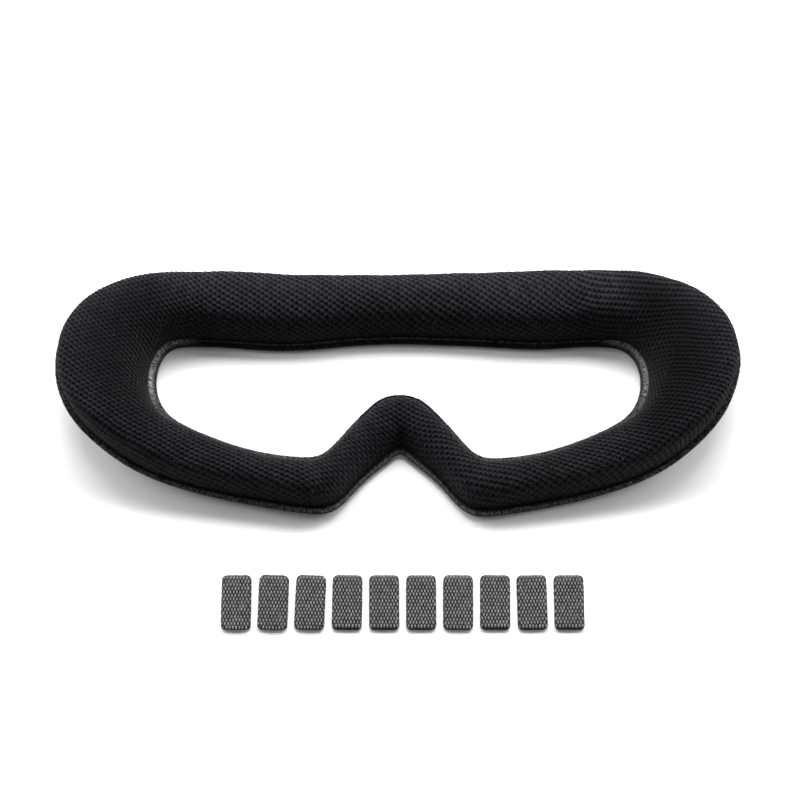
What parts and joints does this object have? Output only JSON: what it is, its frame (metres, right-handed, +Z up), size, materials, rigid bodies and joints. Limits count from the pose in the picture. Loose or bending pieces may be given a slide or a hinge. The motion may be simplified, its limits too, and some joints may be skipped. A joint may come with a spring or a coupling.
{
  "type": "goggle face pad with hook-tape stickers",
  "caption": "Curved foam face pad with a wide eye opening and nose notch, knit cover and loop back, with loose self-adhesive hook-tape stickers to fasten it.",
  "frame": {"origin": "middle of the underside of the bounding box, on the table that the pad and stickers lie on", "axes": "+X across the pad from left to right with the face side up and the brow away, +Y towards the brow, +Z up, out of the face side"},
  "size_m": [0.1858, 0.1018, 0.0226],
  "materials": {
    "knit_cover": "matte",
    "foam": "matte",
    "loop_fabric": "matte",
    "hook_plastic": "satin",
    "adhesive": "gloss",
    "liner_paper": "satin"
  },
  "bodies": {
    "pad": {"face_cover": "knit_cover", "foam_core": "foam", "back_loop_lining": "loop_fabric"},
    "liner_01": {"release_liner_01": "liner_paper"},
    "sticker_01": {"hook_tape_01": "hook_plastic", "adhesive_01": "adhesive"},
    "liner_02": {"release_liner_02": "liner_paper"},
    "sticker_02": {"hook_tape_02": "hook_plastic", "adhesive_02": "adhesive"},
    "liner_03": {"release_liner_03": "liner_paper"},
    "sticker_03": {"hook_tape_03": "hook_plastic", "adhesive_03": "adhesive"},
    "liner_04": {"release_liner_04": "liner_paper"},
    "sticker_04": {"hook_tape_04": "hook_plastic", "adhesive_04": "adhesive"},
    "liner_05": {"release_liner_05": "liner_paper"},
    "sticker_05": {"hook_tape_05": "hook_plastic", "adhesive_05": "adhesive"},
    "liner_06": {"release_liner_06": "liner_paper"},
    "sticker_06": {"hook_tape_06": "hook_plastic", "adhesive_06": "adhesive"},
    "liner_07": {"release_liner_07": "liner_paper"},
    "sticker_07": {"hook_tape_07": "hook_plastic", "adhesive_07": "adhesive"},
    "liner_08": {"release_liner_08": "liner_paper"},
    "sticker_08": {"hook_tape_08": "hook_plastic", "adhesive_08": "adhesive"},
    "liner_09": {"release_liner_09": "liner_paper"},
    "sticker_09": {"hook_tape_09": "hook_plastic", "adhesive_09": "adhesive"},
    "liner_10": {"release_liner_10": "liner_paper"},
    "sticker_10": {"hook_tape_10": "hook_plastic", "adhesive_10": "adhesive"}
  },
  "joints": [
    {"name": "lift_01", "type": "slide", "parent": "pad", "child": "liner_01", "axis": [0, 0, 1], "range_m": [0, 0.04]},
    {"name": "peel_01", "type": "hinge", "parent": "liner_01", "child": "sticker_01", "pos_m": [-0.04362, -0.03581, 0.00012], "axis": [-1, 0, 0], "range_deg": [0, 90]},
    {"name": "lift_02", "type": "slide", "parent": "pad", "child": "liner_02", "axis": [0, 0, 1], "range_m": [0, 0.04]},
    {"name": "peel_02", "type": "hinge", "parent": "liner_02", "child": "sticker_02", "pos_m": [-0.03361, -0.03581, 0.00012], "axis": [-0.9997, 0.0227, 0], "range_deg": [0, 90]},
    {"name": "lift_03", "type": "slide", "parent": "pad", "child": "liner_03", "axis": [0, 0, 1], "range_m": [0, 0.04]},
    {"name": "peel_03", "type": "hinge", "parent": "liner_03", "child": "sticker_03", "pos_m": [-0.02366, -0.03581, 0.00012], "axis": [-0.9994, 0.0349, 0], "range_deg": [0, 90]},
    {"name": "lift_04", "type": "slide", "parent": "pad", "child": "liner_04", "axis": [0, 0, 1], "range_m": [0, 0.04]},
    {"name": "peel_04", "type": "hinge", "parent": "liner_04", "child": "sticker_04", "pos_m": [-0.01398, -0.03581, 0.00012], "axis": [-0.9999, 0.0122, 0], "range_deg": [0, 90]},
    {"name": "lift_05", "type": "slide", "parent": "pad", "child": "liner_05", "axis": [0, 0, 1], "range_m": [0, 0.04]},
    {"name": "peel_05", "type": "hinge", "parent": "liner_05", "child": "sticker_05", "pos_m": [-0.00426, -0.03581, 0.00012], "axis": [-1, -0.0052, 0], "range_deg": [0, 90]},
    {"name": "lift_06", "type": "slide", "parent": "pad", "child": "liner_06", "axis": [0, 0, 1], "range_m": [0, 0.04]},
    {"name": "peel_06", "type": "hinge", "parent": "liner_06", "child": "sticker_06", "pos_m": [0.00562, -0.03581, 0.00012], "axis": [-1, 0, 0], "range_deg": [0, 90]},
    {"name": "lift_07", "type": "slide", "parent": "pad", "child": "liner_07", "axis": [0, 0, 1], "range_m": [0, 0.04]},
    {"name": "peel_07", "type": "hinge", "parent": "liner_07", "child": "sticker_07", "pos_m": [0.01554, -0.03581, 0.00012], "axis": [-1, 0.0087, 0], "range_deg": [0, 90]},
    {"name": "lift_08", "type": "slide", "parent": "pad", "child": "liner_08", "axis": [0, 0, 1], "range_m": [0, 0.04]},
    {"name": "peel_08", "type": "hinge", "parent": "liner_08", "child": "sticker_08", "pos_m": [0.0254, -0.03581, 0.00012], "axis": [-0.9999, 0.0105, 0], "range_deg": [0, 90]},
    {"name": "lift_09", "type": "slide", "parent": "pad", "child": "liner_09", "axis": [0, 0, 1], "range_m": [0, 0.04]},
    {"name": "peel_09", "type": "hinge", "parent": "liner_09", "child": "sticker_09", "pos_m": [0.03506, -0.03581, 0.00012], "axis": [-0.9999, -0.0157, 0], "range_deg": [0, 90]},
    {"name": "lift_10", "type": "slide", "parent": "pad", "child": "liner_10", "axis": [0, 0, 1], "range_m": [0, 0.04]},
    {"name": "peel_10", "type": "hinge", "parent": "liner_10", "child": "sticker_10", "pos_m": [0.04503, -0.03581, 0.00012], "axis": [-1, 0, 0], "range_deg": [0, 90]}
  ]
}
